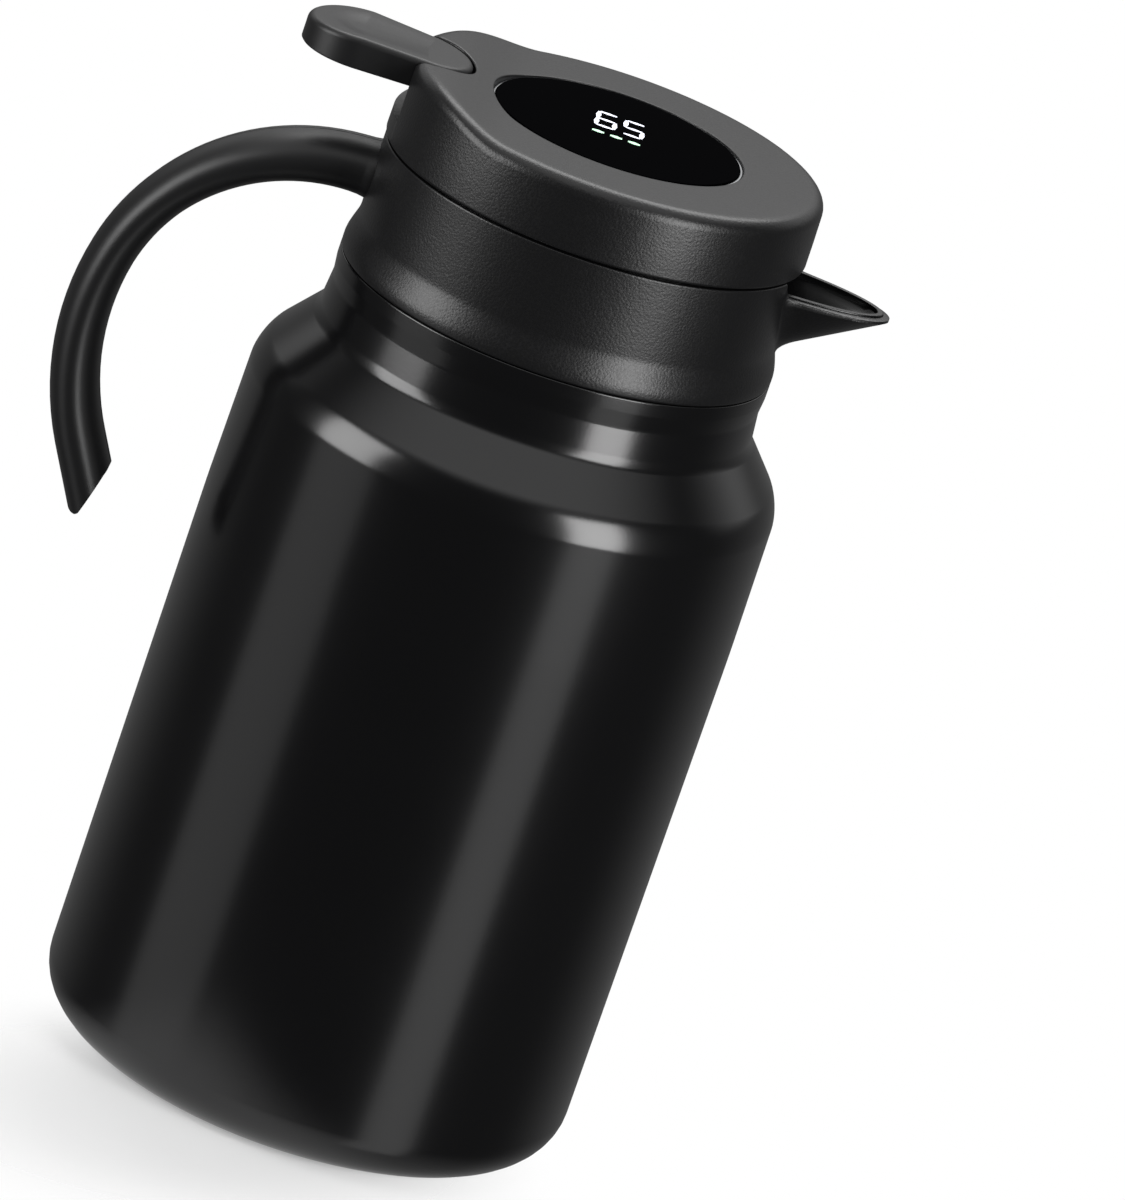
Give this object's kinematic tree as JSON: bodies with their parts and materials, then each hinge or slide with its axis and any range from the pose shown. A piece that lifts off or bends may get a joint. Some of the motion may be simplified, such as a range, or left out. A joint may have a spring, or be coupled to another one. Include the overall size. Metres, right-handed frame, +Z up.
{
  "type": "insulated beverage dispenser",
  "caption": "Double-wall steel beverage jug with pouring collar, open C handle, thumb-lever lid, round temperature display and a hanging tea infuser.",
  "frame": {"origin": "on the vessel's axis, in the plane that its foot ring stands on", "axes": "+Z up along the vessel's axis, +X towards the spout, the handle on the -X side, +Y to the left of somebody who looks along +X"},
  "size_m": [0.1756, 0.124, 0.2393],
  "materials": {
    "black_powder_coat": "fine textured black powder coat on steel",
    "brushed_stainless": "brushed 18/8 stainless steel",
    "polished_stainless": "polished stainless steel",
    "spring_steel": "drawn stainless spring wire",
    "black_shell_plastic": "moulded black polypropylene, fine grain",
    "black_grip_plastic": "moulded black polypropylene, satin",
    "black_liner_plastic": "moulded black polypropylene, smooth",
    "white_silicone": "translucent white food-grade silicone",
    "display_glass": "black-backed display window",
    "bright_ring": "bright rim round the display window",
    "circuit_board": "green glass-fibre board",
    "digit_face": "lit digit module",
    "nickel_plate": "nickel-plated coin cell",
    "glass_solder": "fused glass solder bead",
    "getter_metal": "pressed metal getter"
  },
  "bodies": {
    "vessel": {"outer_shell": "black_powder_coat", "inner_flask": "brushed_stainless", "base_plate": "brushed_stainless", "vacuum_seal": "glass_solder", "getter_pellet": "getter_metal", "collar": "black_shell_plastic", "pour_liner": "black_liner_plastic", "neck_gasket": "white_silicone", "handle_left": "black_grip_plastic", "handle_right": "black_grip_plastic", "handle_screws": "polished_stainless"},
    "lid": {"cap_cover": "black_shell_plastic", "lever_pin": "polished_stainless", "stopper_body": "black_liner_plastic", "stopper_deck": "black_liner_plastic", "seal_carrier": "black_liner_plastic", "stopper_seal": "white_silicone", "basket_socket": "black_liner_plastic", "valve_spring": "spring_steel", "display_housing": "bright_ring", "display_glass": "display_glass", "display_board": "circuit_board", "digit_module": "digit_face", "cell_holder": "black_liner_plastic", "coin_cell": "nickel_plate", "temperature_probe": "polished_stainless"},
    "lever": {"thumb_lever": "black_shell_plastic"},
    "valve": {"valve_stem": "black_liner_plastic", "valve_plug": "black_liner_plastic", "valve_washer": "white_silicone"},
    "infuser": {"infuser_ring": "polished_stainless", "infuser_basket": "polished_stainless", "infuser_base": "polished_stainless"}
  },
  "joints": [
    {"name": "lid_lift", "type": "slide", "parent": "vessel", "child": "lid", "axis": [0, 0, 1], "range_m": [0, 0.12]},
    {"name": "lever_press", "type": "hinge", "parent": "lid", "child": "lever", "pos_m": [-0.038, 0, 0.225], "axis": [0, -1, 0], "range_deg": [0, 8], "stiffness_Nm_per_rad": 0.1, "springref_deg": -11.46},
    {"name": "valve_lift", "type": "slide", "parent": "lid", "child": "valve", "axis": [0, 0, 1], "range_m": [0, 0.0058], "deforming": ["valve_spring"]},
    {"name": "infuser_release", "type": "slide", "parent": "lid", "child": "infuser", "axis": [0, 0, -1], "range_m": [0, 0.03]}
  ],
  "couplings": [
    {"joint": "valve_lift", "follows": "lever_press", "m_per_rad": 0.0402}
  ]
}
